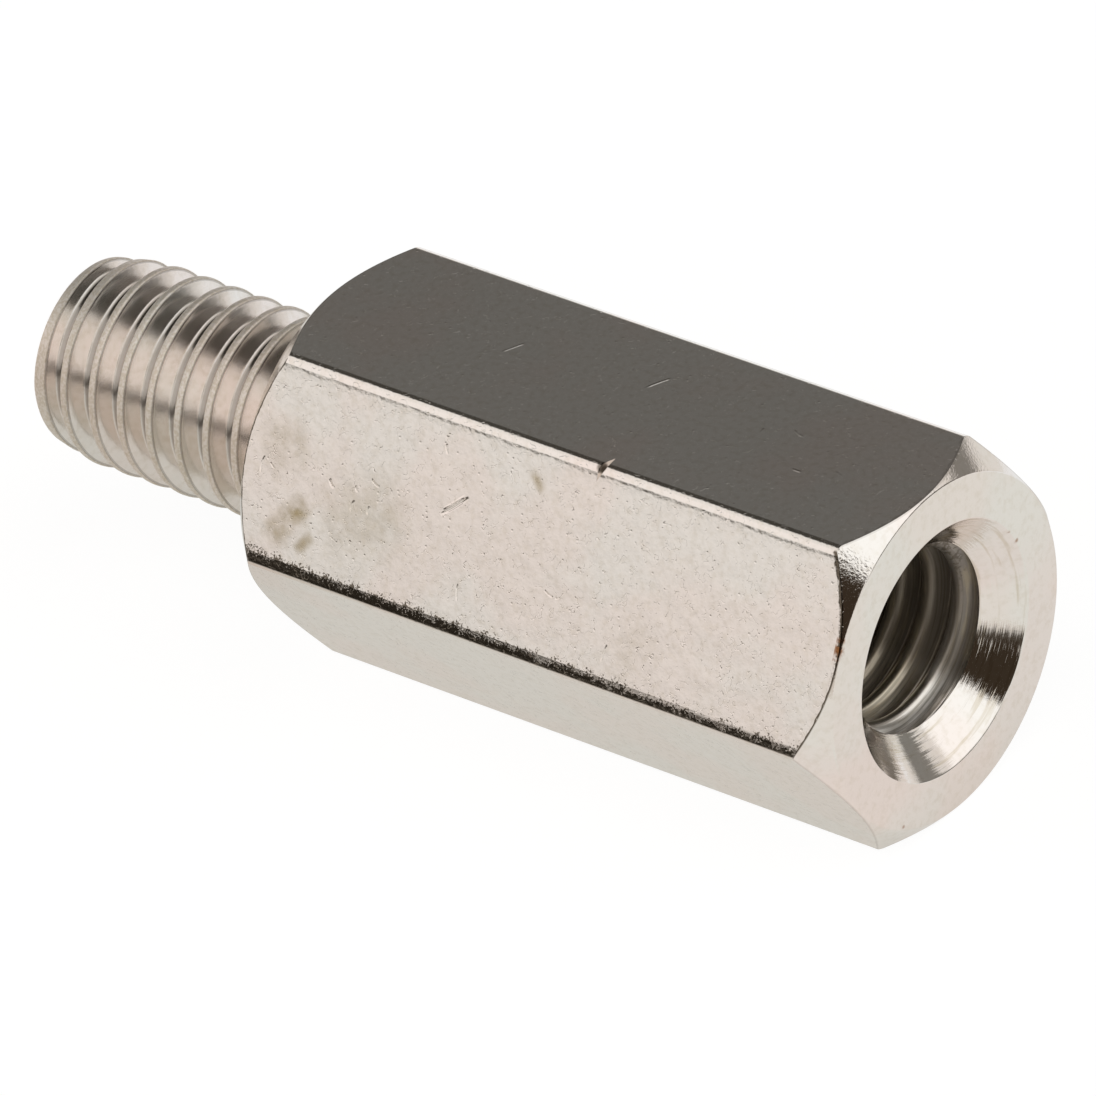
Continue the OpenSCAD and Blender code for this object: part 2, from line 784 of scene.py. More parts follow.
class Value:
    """A number or colour that a node tree works out at each point, for plain sums."""

    def __init__(self, graph: "Graph", socket: bpy.types.NodeSocket) -> None:
        """Keeps a node's output and the graph that it belongs to."""
        self.graph = graph
        self.socket = socket

    def __add__(self, other: "Value | float") -> "Value":
        """Returns the sum."""
        return self.graph.math("ADD", self, other)

    def __sub__(self, other: "Value | float") -> "Value":
        """Returns the difference."""
        return self.graph.math("SUBTRACT", self, other)

    def __rsub__(self, other: float) -> "Value":
        """Returns what the value leaves of a number."""
        return self.graph.math("SUBTRACT", other, self)

    def __mul__(self, other: "Value | float") -> "Value":
        """Returns the product."""
        return self.graph.math("MULTIPLY", self, other)

    def __truediv__(self, other: "Value | float") -> "Value":
        """Returns the quotient."""
        return self.graph.math("DIVIDE", self, other)

    def __abs__(self) -> "Value":
        """Returns the value without its sign."""
        return self.graph.math("ABSOLUTE", self)

    def __gt__(self, limit: "Value | float") -> "Value":
        """Returns 1 where the value is over a limit, and 0 elsewhere."""
        return self.graph.math("GREATER_THAN", self, limit)

    def __lt__(self, limit: "Value | float") -> "Value":
        """Returns 1 where the value is under a limit, and 0 elsewhere."""
        return self.graph.math("LESS_THAN", self, limit)

    __radd__ = __add__
    __rmul__ = __mul__

    def ramp(self, low: float, high: float, start: float = 0.0, end: float = 1.0) -> "Value":
        """Maps a range of the value smoothly onto another range, and clamps it.

        Args:
            low: Where the result starts to change.
            high: Where the result has changed.
            start: The result at low.
            end: The result at high.

        Returns:
            The result.
        """
        return self.graph.value(
            "MapRange",
            {0: self, 1: low, 2: high, 3: start, 4: end},
            interpolation_type="SMOOTHSTEP",
        )


class Graph:
    """A node tree under construction: makes nodes and wires values into them."""

    def __init__(self, tree: bpy.types.NodeTree) -> None:
        """Starts from an empty tree."""
        self.tree = tree
        tree.nodes.clear()

    def add(self, kind: str, inputs: dict | None = None, **settings: object) -> bpy.types.Node:
        """Adds one node.

        Args:
            kind: The node's type, without its ShaderNode prefix.
            inputs: Values, numbers or outputs for its inputs, by name or number.
            settings: The node's own settings.

        Returns:
            The new node.
        """
        node = self.tree.nodes.new("ShaderNode" + kind)
        for name, value in settings.items():
            setattr(node, name, value)
        for key, value in (inputs or {}).items():
            self.put(node.inputs[key], value)
        return node

    def put(self, socket: bpy.types.NodeSocket, value: object) -> None:
        """Wires an output to an input, or sets the input's own value.

        Args:
            socket: The input.
            value: A value, an output, a number, or a colour of three numbers.
        """
        if isinstance(value, Value):
            value = value.socket
        if isinstance(value, bpy.types.NodeSocket):
            self.tree.links.new(value, socket)
        elif socket.type == "RGBA":
            socket.default_value = (*value, 1.0)
        else:
            socket.default_value = value

    def value(
        self,
        kind: str,
        inputs: dict | None = None,
        output: int | str = 0,
        **settings: object,
    ) -> Value:
        """Adds one node and picks one of its outputs.

        Args:
            kind: The node's type, without its ShaderNode prefix.
            inputs: Values, numbers or outputs for its inputs, by name or number.
            output: The output's name or number.
            settings: The node's own settings.

        Returns:
            The output's value.
        """
        return Value(self, self.add(kind, inputs, **settings).outputs[output])

    def math(self, operation: str, *values: Value | float) -> Value:
        """Returns what a Math node makes of its numbers or values."""
        return self.value("Math", dict(enumerate(values)), operation=operation)

    def split(self, vector: Value) -> tuple[Value, Value, Value]:
        """Returns the three parts of a vector or a place."""
        x, y, z = self.add("SeparateXYZ", {0: vector}).outputs
        return Value(self, x), Value(self, y), Value(self, z)

    def join(self, *parts: Value) -> Value:
        """Returns a vector of up to three parts."""
        return self.value("CombineXYZ", dict(enumerate(parts)))

    def highest(self, values: Iterable[Value]) -> Value:
        """Returns the highest of several values at each point."""
        return reduce(lambda one, other: self.math("MAXIMUM", one, other), values)

    def lowest(self, one: Value, other: Value | float) -> Value:
        """Returns the lower of two values at each point."""
        return self.math("MINIMUM", one, other)

    def noise(self, vector: Value, scale: float, detail: float) -> Value:
        """Returns a noise pattern near 0.5.

        Args:
            vector: Where the pattern is read.
            scale: How fine it is.
            detail: How many finer layers it has.

        Returns:
            Its value.
        """
        return self.value("TexNoise", {"Vector": vector, "Scale": scale, "Detail": detail})

    def mix(self, share: Value, first: Value | Colour, second: Value | Colour) -> Value:
        """Mixes two colours.

        Args:
            share: How much of the second colour shows.
            first: The first colour.
            second: The second colour.

        Returns:
            The mixed colour.
        """
        return self.value("Mix", {0: share, 6: first, 7: second}, output=2, data_type="RGBA")


class Face(Enum):
    """A flat of the bar, by the direction that it faces round the axis, in degrees."""

    TOP = 90.0
    FRONT = 150.0
    LOWER = 210.0


@dataclass(frozen=True)
class Mark:
    """A mark on a flat, in millimetres.

    Attributes:
        x: Where its middle is along the axis.
        across: Where its middle is across the flat, from the flat's centre line.
        angle: Its slant on the flat, in degrees from the axis.
        length: Its length.
        width: Its width.
        bend: How much it curves.
    """

    x: float
    across: float
    angle: float
    length: float
    width: float
    bend: float = 0.0


@dataclass(frozen=True)
class Scratch(Mark):
    """A scratch or dig of some depth, or a burr where the depth is below zero."""

    depth: float = 0.008


@dataclass(frozen=True)
class Stain(Mark):
    """A stain in the plate of some strength."""

    strength: float = 1.0


@dataclass(frozen=True)
class Spot:
    """A rust spot on the tapped end, by its place round the axis and its size."""

    ring_r: float
    angle: float
    size: float
    strength: float


SCRATCHES = {
    Face.FRONT: (
        Scratch(1.8, -0.5, -42, 1.1, 0.06, 0.1, 0.022),
        Scratch(1.74, -0.6, -42, 0.85, 0.045, 0.05, -0.012),
        Scratch(-4.66, 0.16, 95, 0.5, 0.04, 0.5, 0.01),
        Scratch(-4.3, 0.12, 40, 0.25, 0.04, 0.0, 0.008),
        Scratch(-2.3, 0.05, 48, 0.3, 0.06, 1.5, 0.012),
        Scratch(-1.46, -0.05, 60, 0.2, 0.05, 1.0, 0.01),
        Scratch(-0.9, -0.36, 25, 0.35, 0.05, 0.8, 0.01),
        Scratch(-1.5, 0.42, 100, 0.35, 0.05, 0.8, 0.009),
        Scratch(-0.95, 0.4, 95, 0.25, 0.05, 0.8, 0.009),
        Scratch(1.16, -1.92, 70, 0.3, 0.05, 0.8, 0.01),
        Scratch(2.4, 1.7, 80, 0.5, 0.035, 0.2, 0.008),
        Scratch(5.3, 0.9, 20, 0.35, 0.04, 0.6, 0.008),
        Scratch(7.4, 1.9, 100, 0.55, 0.04, 0.2, 0.006),
    ),
    Face.TOP: (
        Scratch(0.72, -0.3, 118, 0.9, 0.04, 0.0, 0.008),
        Scratch(5.2, -0.85, 118, 0.95, 0.05, 0.1, 0.01),
        Scratch(-3.9, 0.68, 60, 0.3, 0.05, 0.0, 0.008),
        Scratch(-0.5, -0.9, 30, 0.35, 0.04, 0.4, 0.008),
        Scratch(9.95, -0.75, 20, 0.5, 0.05, 0.3, 0.01),
        Scratch(10.9, 0.6, 0, 0.4, 0.05, 0.3, 0.009),
        Scratch(12.0, 0.2, 20, 0.35, 0.05, 0.2, 0.008),
        Scratch(9.0, -0.4, 80, 0.3, 0.05, 0.2, 0.008),
    ),
}

FRONT_STAINS = (
    Stain(-3.2, 1.1, -45, 1.0, 0.5, strength=1.0),
    Stain(-3.5, 1.45, -50, 2.0, 0.6, strength=0.7),
    Stain(-2.8, 1.85, -50, 0.9, 0.3, strength=0.8),
    Stain(-1.0, 0.6, -25, 3.6, 1.7, strength=0.3),
    Stain(-4.0, -0.6, -30, 2.0, 1.0, strength=0.3),
    Stain(4.24, -1.92, 45, 0.9, 0.22, strength=0.7),
    Stain(8.3, 1.5, -60, 2.0, 0.9, strength=0.15),
)

SPOTS = (
    Spot(ring_r=5.04, angle=147.0, size=0.34, strength=0.5),
    Spot(ring_r=5.0, angle=146.5, size=0.2, strength=0.9),
    Spot(ring_r=5.0, angle=143.5, size=0.16, strength=0.8),
    Spot(ring_r=5.02, angle=149.5, size=0.1, strength=0.6),
    Spot(ring_r=3.71, angle=22.0, size=0.12, strength=0.7),
    Spot(ring_r=3.67, angle=30.0, size=0.09, strength=0.6),
    Spot(ring_r=4.85, angle=-123.0, size=0.1, strength=0.6),
)


class Places:
    """Where a point of the part lies: along and round the axis, and on which flat."""

    def __init__(self, graph: Graph, at: Lengths) -> None:
        """Adds the nodes that say where a point lies, in millimetres.

        Args:
            graph: The material's nodes.
            at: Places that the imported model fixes.
        """
        self.graph = graph
        self.at = at
        self.patterns: dict[tuple[float, float], Value] = {}
        self.point = graph.value(
            "Mapping",
            {
                "Vector": graph.value("TexCoord", output="Object"),
                "Scale": (1.0 / MM, 1.0 / MM, 1.0 / MM),
                "Location": (0.0, 0.0, -at.flat_r),
            },
        )
        self.x, self.y, self.z = graph.split(self.point)
        self.r = graph.math("SQRT", self.y * self.y + self.z * self.z)
        self.cos, self.sin = self.y / self.r, self.z / self.r
        self.on_bar = self.r.ramp(4.6, 4.9)
        self.across = {face: self.along_way(face.value + 90.0) for face in Face}
        self.outward = {face: self.along_way(face.value) for face in Face}
        self.on = {face: self.near_flat(self.outward[face]) for face in Face}
        self.on_a_flat = self.near_flat(graph.highest(map(abs, self.outward.values())))
        self.flat_point = {face: graph.join(self.x, self.across[face]) for face in SCRATCHES}

    def near_flat(self, reach: Value) -> Value:
        """Returns 1 where a distance from the axis is that of the bar's flats."""
        return reach.ramp(self.at.flat_r - 0.05, self.at.flat_r - 0.015)

    def along_way(self, angle: float) -> Value:
        """Returns how far a point lies from the axis, in a direction in degrees."""
        way = around(angle)
        return self.y * way.y + self.z * way.z

    def facing(self, angle: float) -> Value:
        """Returns 1 on the side of an angle round the axis, and -1 opposite it."""
        way = around(angle)
        return self.cos * way.y + self.sin * way.z

    def noise(self, scale: float, detail: float = 2.0) -> Value:
        """Returns an even noise pattern, the same one each time that it is asked for.

        Args:
            scale: How fine it is.
            detail: How many finer layers it has.

        Returns:
            Its value, near 0.5.
        """
        key = (scale, detail)
        if key not in self.patterns:
            self.patterns[key] = self.graph.noise(self.point, scale, detail)
        return self.patterns[key]

    def turned_lines(self, around_scale: float, out_scale: float, detail: float) -> Value:
        """Returns a noise pattern drawn out into lines round the axis.

        Args:
            around_scale: How fast it changes round the axis.
            out_scale: How fast it changes out from the axis and along it.
            detail: How many finer layers it has.

        Returns:
            Its value, near 0.5.
        """
        slant = 0.6
        out = (self.x * slant + self.r) * out_scale
        place = self.graph.join(out, self.cos * around_scale, self.sin * around_scale)
        return self.graph.noise(place, 1.0, detail)

    def mark(self, mark: Mark, face: Face, soft: float) -> Value:
        """Returns 1 in the middle of a mark on a flat, falling to 0 at its edges.

        Args:
            mark: The scratch or stain.
            face: The flat that it lies in.
            soft: The share of its width over which it fades.

        Returns:
            The mark's mask, on every flat.
        """
        local = self.graph.value(
            "Mapping",
            {
                "Vector": self.flat_point[face],
                "Location": (mark.x, mark.across, 0.0),
                "Rotation": (0.0, 0.0, math.radians(mark.angle)),
            },
            vector_type="TEXTURE",
        )
        along, aside, _ = self.graph.split(local)
        if mark.bend:
            aside = aside + along * along * mark.bend
        half = mark.length / 2
        ends = abs(along).ramp(half, half * 0.4)
        return ends * abs(aside).ramp(mark.width, mark.width * (1.0 - soft))


@dataclass(frozen=True)
class NickelPlate:
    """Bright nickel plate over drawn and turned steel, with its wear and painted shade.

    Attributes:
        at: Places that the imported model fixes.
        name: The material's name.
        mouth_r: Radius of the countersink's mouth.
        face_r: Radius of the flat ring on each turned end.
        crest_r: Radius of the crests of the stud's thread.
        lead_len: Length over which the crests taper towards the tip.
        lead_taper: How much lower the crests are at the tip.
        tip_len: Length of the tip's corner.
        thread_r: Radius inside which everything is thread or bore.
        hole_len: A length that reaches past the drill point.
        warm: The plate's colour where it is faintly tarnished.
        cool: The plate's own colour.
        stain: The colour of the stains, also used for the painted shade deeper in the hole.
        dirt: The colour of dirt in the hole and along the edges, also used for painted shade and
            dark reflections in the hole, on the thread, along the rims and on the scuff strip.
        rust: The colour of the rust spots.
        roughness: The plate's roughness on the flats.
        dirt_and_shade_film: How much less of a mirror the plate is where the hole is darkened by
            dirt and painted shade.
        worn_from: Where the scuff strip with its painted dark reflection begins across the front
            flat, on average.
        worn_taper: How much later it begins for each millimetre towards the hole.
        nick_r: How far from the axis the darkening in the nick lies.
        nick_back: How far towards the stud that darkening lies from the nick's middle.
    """

    at: Lengths
    name: str = "nickel plate"
    mouth_r: float = TappedHole.mouth_r
    face_r: float = 4.95
    crest_r: float = 2.93
    lead_len: float = ThreadedStud.lead_len
    lead_taper: float = ThreadedStud.lead_taper
    tip_len: float = 0.29
    thread_r: float = 3.2
    hole_len: float = 15.5
    warm: Colour = (0.845, 0.785, 0.745)
    cool: Colour = (0.83, 0.805, 0.77)
    stain: Colour = (0.5, 0.42, 0.27)
    dirt: Colour = (0.1, 0.08, 0.055)
    rust: Colour = (0.3, 0.13, 0.05)
    roughness: float = 0.12
    dirt_and_shade_film: float = 0.8
    worn_from: float = 2.52
    worn_taper: float = 0.008
    nick_r: float = 5.66
    nick_back: float = 0.05

    def make(self) -> bpy.types.Material:
        """Returns the material."""
        material = bpy.data.materials.new(self.name)
        material.use_nodes = True
        graph = Graph(material.node_tree)
        look = PlateLook(graph, self)
        bump = {"Strength": 1.0, "Distance": MM, "Height": look.height()}
        shader = graph.value(
            "BsdfPrincipled",
            {
                "Base Color": look.tone(),
                # Less of a mirror where the hole is darkened by dirt and painted shade
                "Metallic": 1.0 - look.hole_dirt_and_shade * self.dirt_and_shade_film,
                "Roughness": look.dullness(),
                "Normal": graph.value("Bump", bump),
            },
        )
        graph.add("OutputMaterial", {"Surface": shader})
        return material


class PlateLook(Places):
    """The look of the plate: what a point has been through, and how that shows there.

    Attributes:
        plate: The finish.
        deep: How deep a point lies in the hole, in millimetres.
        below: How far it lies under the crests of the stud's thread, in millimetres.
        hole_dirt_and_shade: How dark the hole is: dirt deep in, and painted shade towards one
            side.
        stained: How deeply it is stained.
        scuff_and_dark_reflection: How much the strip beside the worn edge has scuff grain, and
            is painted dark as a reflection.
    """

    def __init__(self, graph: Graph, plate: NickelPlate) -> None:
        """Works out what each point of the plate has been through.

        Args:
            graph: The material's nodes.
            plate: The finish.
        """
        super().__init__(graph, plate.at)
        self.plate = plate
        self.deep = self.in_hole()
        self.below = self.under_crest()
        self.hole_dirt_and_shade = self.paint_hole_dirt_and_shade()
        self.stained = self.stains()
        self.scuff_and_dark_reflection = self.scuffs_and_dark_reflection()

    # Where things lie

    def past_cone(self) -> Value:
        """Returns how far a point lies outside the countersink's cone, along X."""
        return self.r - self.x + (self.at.mouth - self.plate.mouth_r)

    def in_hole(self) -> Value:
        """Returns how deep a point lies in the thread or the bore, in millimetres."""
        depth = self.at.mouth - self.x
        inside = self.r.ramp(self.plate.thread_r + 0.1, self.plate.thread_r)
        return (self.past_cone() > 0.02) * inside * (depth < self.plate.hole_len) * depth

    def under_crest(self) -> Value:
        """Returns how far a point lies under the crests of the stud's thread."""
        plate = self.plate
        slope = plate.lead_taper / plate.lead_len
        lead_r = plate.crest_r - plate.lead_taper - (self.at.tip + plate.tip_len) * slope
        crest = self.graph.lowest(self.x * slope + lead_r, plate.crest_r)
        far = 9.0
        return crest - self.r + (self.x > self.at.shoulder) * far

    def near_rim(self) -> Value:
        """Returns how far a point lies outside the turned cone of the tapped end."""
        return self.r + self.x - (self.at.mouth + self.plate.face_r)

    def far_rim(self) -> Value:
        """Returns how far a point lies outside the turned cone of the stud's end."""
        return self.r - self.x + (self.at.shoulder - self.plate.face_r)

    # What covers the plate, and the shade painted on it, each as a share from 0 to 1

    def paint_hole_dirt_and_shade(self) -> Value:
        """Returns how dark the hole is painted: dirt deep in, and painted shade and dark
        reflection on one side.
        """
        # Painted dark reflection: one side of the hole's wall darkened
        side = self.facing(15.0).ramp(0.1, 0.45)
        middle = self.facing(-20.0).ramp(0.3, 0.85, 0.5, 0.8)
        # Darker deeper in: partly dirt, partly painted shade
        deep_dirt_and_shade = self.deep.ramp(2.2, 5.5, 0.0, 0.9)
        return self.graph.highest((side * middle * self.deep.ramp(0.5, 0.8), deep_dirt_and_shade))

    def stains(self) -> Value:
        """Returns how deeply the plate is stained."""
        front = Face.FRONT
        masks = [self.mark(stain, front, 1.0) * stain.strength for stain in FRONT_STAINS]
        cloud = self.noise(2.2, 5.0).ramp(0.3, 0.65, 0.35, 1.0)
        return self.graph.highest(masks) * self.on[front] * cloud

    def scuffs_and_dark_reflection(self) -> Value:
        """Returns the scuff strip beside the front flat's lower edge, which is also painted dark
        as a reflection.
        """
        # The strip's dark colour is a painted reflection, and its grain is scuff wear
        across = self.across[Face.FRONT]
        rag = self.noise(3.0, 3.0) * 0.7 + self.noise(16.0) * 0.9 - 0.8
        place = across + rag - self.x * self.plate.worn_taper
        strip = place.ramp(self.plate.worn_from - 0.04, self.plate.worn_from + 0.08)
        strip = strip * across.ramp(2.87, 2.83) * self.outward[Face.FRONT].ramp(4.7, 4.85)
        past_end = self.graph.highest((self.near_rim(), self.far_rim()))
        return strip * past_end.ramp(0.0, -0.06)

    def crest_wear(self) -> Value:
        """Returns how worn the crests of the stud's thread are."""
        speckle = self.noise(13.0, 3.0).ramp(0.38, 0.62, 0.08, 0.4)
        return self.below.ramp(0.06, 0.03) * speckle

    def thread_painted_shade(self) -> Value:
        """Returns the painted dark reflection lines beside the stud's crests and the painted
        shade in its roots.
        """
        # Painted dark reflection lines beside the crests
        beside = abs(self.below - 0.06).ramp(0.034, 0.018, 0.0, 0.36)
        # Painted shade in the roots
        root = (self.x < self.at.shoulder) * self.r.ramp(2.45, 2.4, 0.0, 0.6)
        return self.graph.highest((beside, root))

    def rim_painted_shade(self) -> Value:
        """Returns the painted shade along the curved rims where the flats meet the turned ends.
        """
        # A painted dark line for the shading of the rounded rims, strongest on the front flat
        sway = self.noise(5.0, 4.0) * 2.6 - 1.1
        thick = self.across[Face.FRONT].ramp(0.4, -0.8, 0.018, 0.07)
        thick = thick * self.noise(3.0).ramp(0.35, 0.65, 0.6, 1.5)
        rims = ((self.near_rim(), thick), (self.far_rim(), 0.03))
        lines = [(abs(sway * width + rim) / width).ramp(1.0, 0.4) for rim, width in rims]
        share = self.on[Face.FRONT] * 0.75 + 0.2
        return self.graph.highest(lines) * share * self.on_a_flat

    def hollows(self) -> Value:
        """Returns how dark the hollows between turned lines are, in the hole's walls."""
        mouth = self.at.mouth
        cone = self.x.ramp(mouth - 1.2, mouth - 1.1) * self.x.ramp(mouth - 0.02, mouth - 0.06)
        cone = cone * self.r.ramp(3.8, 3.7)
        wall = self.graph.highest((cone, self.deep.ramp(0.5, 0.8)))
        return self.turned_lines(1.5, 5.0, 5.0).ramp(0.5, 0.66) * wall * 0.4

    def drawn_dirt(self) -> Value:
        """Returns how much dirt is drawn out along the turns of the inner thread."""
        lines = self.turned_lines(0.9, 11.0, 6.0).ramp(0.46, 0.62)
        return lines * self.deep.ramp(0.5, 0.8) * 0.5

    def ragged_dirt(self) -> Value:
        """Returns how dirty the edge is where the thread runs into the countersink."""
        apart = self.past_cone()
        width = self.noise(7.0, 4.0).ramp(0.38, 0.62, 0.03, 0.3)
        ragged = (apart / width).ramp(1.0, 0.6, 0.0, 0.8) * apart.ramp(0.012, 0.022)
        return ragged * self.r.ramp(self.plate.thread_r, self.plate.thread_r - 0.1)

    def nick_darkening(self) -> Value:
        """Returns how much darker the nick is."""
        nick = around(Nick.corner, self.plate.nick_r)
        nick.x = Nick.x - self.plate.nick_back
        apart = self.graph.value(
            "VectorMath", {0: self.point, 1: nick}, output="Value", operation="DISTANCE"
        )
        return apart.ramp(0.2, 0.1, 0.0, 0.8)

    def rusty(self, spot: Spot) -> Value:
        """Returns how rusty the tapped end is at one spot.

        Args:
            spot: The rust spot.

        Returns:
            The rust's share of the colour.
        """
        middle = around(spot.angle, spot.ring_r)
        off_y, off_z = self.y - middle.y, self.z - middle.z
        apart = self.graph.math("SQRT", off_y * off_y + off_z * off_z)
        apart = apart + self.noise(9.0, 3.0) * spot.size
        mask = apart.ramp(spot.size * 1.3, spot.size * 0.5)
        return mask * (self.x > self.at.mouth - 0.2) * spot.strength

    # The looks that they add up to

    def tone(self) -> Value:
        """Returns the plate's colour, with its tarnish, stains, dirt and rust, and painted
        shade.
        """
        plate, deep = self.plate, self.deep
        colour = self.graph.mix(self.noise(0.3, 3.0).ramp(0.4, 0.6), plate.cool, plate.warm)
        layers = [
            (self.noise(5.0, 5.0).ramp(0.42, 0.75) * 0.16, plate.stain),
            (self.stained, plate.stain),
            (self.crest_wear(), plate.stain),
            # Painted dark reflection lines and painted shade on the thread
            (self.thread_painted_shade(), plate.dirt),
            # Painted shade, partly stain: the hole darker with depth
            (deep.ramp(1.3, 2.8, 0.0, 0.6), plate.stain),
            # Dirt deep in the hole, and painted shade and dark reflection on one side
            (self.hole_dirt_and_shade, plate.dirt),
            # Painted shade along the rims
            (self.rim_painted_shade(), plate.dirt),
            # Painted dark reflection on the scuff strip
            (self.scuff_and_dark_reflection * 0.9, plate.dirt),
            (self.hollows(), plate.stain),
            (self.drawn_dirt(), plate.dirt),
            (self.ragged_dirt(), plate.dirt),
            # Darker in the nick
            (self.nick_darkening(), plate.dirt),
        ]
        layers += [(self.rusty(spot), plate.rust) for spot in SPOTS]
        for share, cover in layers:
            colour = self.graph.mix(share, colour, cover)
        return colour

    def dullness(self) -> Value:
        """Returns the plate's roughness."""
        rough = self.noise(2.5, 3.0) * 0.08 + (self.plate.roughness - 0.04) + self.stained * 0.2
        shoulder = self.at.shoulder
        turned = self.x.ramp(shoulder - 0.02, shoulder + 0.02, 1.6, 0.5)
        rough = rough * (turned + self.on_a_flat * (1.0 - turned))
        crests = self.below.ramp(0.07, 0.03, 0.0, 0.4)
        return rough + crests + self.deep.ramp(0.0, 0.8, 0.0, 0.26)

    def height(self) -> Value:
        """Returns the height of the fine relief, in millimetres."""
        across = self.across[Face.FRONT]
        peel = self.noise(1.6) * 0.0035
        creased = across.ramp(-2.4, -2.75) * self.outward[Face.FRONT].ramp(4.0, 4.4)
        crests = self.below.ramp(0.1, 0.04, 0.0, 0.006)
        grain = self.noise(9.0) * (creased * 0.003 + self.scuff_and_dark_reflection * 0.003 + crests + 0.001)
        cone = abs(self.near_rim()).ramp(0.1, 0.04, 0.0, 0.0035)
        cone = cone * self.z.ramp(1.2, 2.4) * self.noise(15.0)
        total = peel + grain + cone + self.marks() * self.on_a_flat
        # A low lip under the rounded edge over the front flat
        lip = (self.noise(2.0, 3.0) * 0.22 + across).ramp(-2.6, -2.48, 1.0, 0.0)
        total = total + lip * self.on[Face.FRONT] * 0.0025
        # Turned lines on the ends, the countersink and the thread
        mouth = self.at.mouth
        turned = self.x.ramp(mouth - 1.3, mouth - 1.1, 0.002, 0.009)
        turned = turned - self.x.ramp(mouth - 0.03, mouth - 0.01) * 0.0075
        in_bore = (self.x > 0.0) * self.r.ramp(self.plate.thread_r, self.plate.thread_r - 0.1)
        turned = (turned + in_bore * 0.002) * (1.0 - self.on_bar)
        return total + self.turned_lines(1.2, 9.0, 4.0) * turned

    def marks(self) -> Value:
        """Returns the height of the pits, hair lines and scratches, in millimetres."""
        graph = self.graph
        cells = graph.add("TexVoronoi", {"Vector": self.point, "Scale": 3.2}).outputs
        chosen = graph.value("SeparateColor", {0: cells["Color"]}) > 0.45
        total = Value(graph, cells["Distance"]).ramp(0.14, 0.04) * chosen * -0.005
        hair = abs(self.noise(4.5, 1.0) - 0.5).ramp(0.02, 0.0)
        hair = hair * self.noise(3.4).ramp(0.51, 0.58)
        total = total + hair * (self.on[Face.TOP] * 0.003 - 0.0045)
        for face, scratches in SCRATCHES.items():
            dug = sum(self.mark(scratch, face, 0.9) * scratch.depth for scratch in scratches)
            total = total - dug * self.on[face]
        return total


@dataclass(frozen=True)
class PaleFloor:
    """The pale floor: white to the camera, and tinted by place to the polished part.

    Attributes:
        name: The material's name.
        table_r: Distance from the part past which polished faces see the studio instead.
        pale: The colour that light falls on.
        white: The colour that the camera sees.
        glow: How strongly the camera's white shows.
        base: The colour that polished faces see far off the tinted places.
        tints: Bands of the floor with a colour of their own in polished faces, as the
            axis across them, where they fade in from and to in millimetres, and a colour.
    """

    name: str = "pale floor"
    table_r: float = 0.045
    pale: Colour = (0.9, 0.9, 0.88)
    white: Colour = (1.0, 1.0, 1.0)
    glow: float = 1.08
    base: Colour = (0.66, 0.59, 0.52)
    tints: tuple[tuple[int, float, float, Colour], ...] = (
        (1, -9.0, -2.0, (0.74, 0.73, 0.69)),
        (0, -8.0, -5.0, (0.76, 0.745, 0.7)),
        (0, 13.5, 16.5, (0.94, 0.875, 0.84)),
        (0, 18.0, 21.0, (0.93, 0.93, 0.89)),
        (1, 20.0, 23.0, (1.04, 1.06, 1.09)),
    )

    def make(self) -> bpy.types.Material:
        """Returns the material."""
        material = bpy.data.materials.new(self.name)
        material.use_nodes = True
        graph = Graph(material.node_tree)
        path = graph.add("LightPath").outputs
        seen = Value(graph, path["Is Camera Ray"])
        mirrored = Value(graph, path["Is Glossy Ray"])
        place = graph.split(graph.value("TexCoord", output="Object"))
        tint: Value | Colour = self.base
        for axis, start, end, colour in self.tints:
            tint = graph.mix(place[axis].ramp(start * MM, end * MM), tint, colour)
        out = graph.math("SQRT", place[0] * place[0] + place[1] * place[1])
        past = out.ramp(self.table_r, self.table_r * 1.5)
        shader = graph.value("BsdfDiffuse", {"Color": self.pale})
        for share, other in (
            (seen * 0.85, graph.value("Emission", {"Color": self.white, "Strength": self.glow})),
            (mirrored * 0.7, graph.value("Emission", {"Color": tint, "Strength": 1.0})),
            (mirrored * past, graph.value("BsdfTransparent")),
        ):
            shader = graph.value("MixShader", {0: share, 1: shader, 2: other})
        graph.add("OutputMaterial", {"Surface": shader})
        return material


@dataclass(frozen=True)
class Panel:
    """A soft-edged panel of the studio, in degrees round it and up.

    Attributes:
        azimuth: Where its middle is.
        width: How far round it reaches.
        low: Its lower edge.
        high: Its upper edge.
        soft: How far past each edge it fades out.
        colour: Its colour and brightness.
    """

    azimuth: float
    width: float
    low: float
    high: float
    soft: float
    colour: Colour


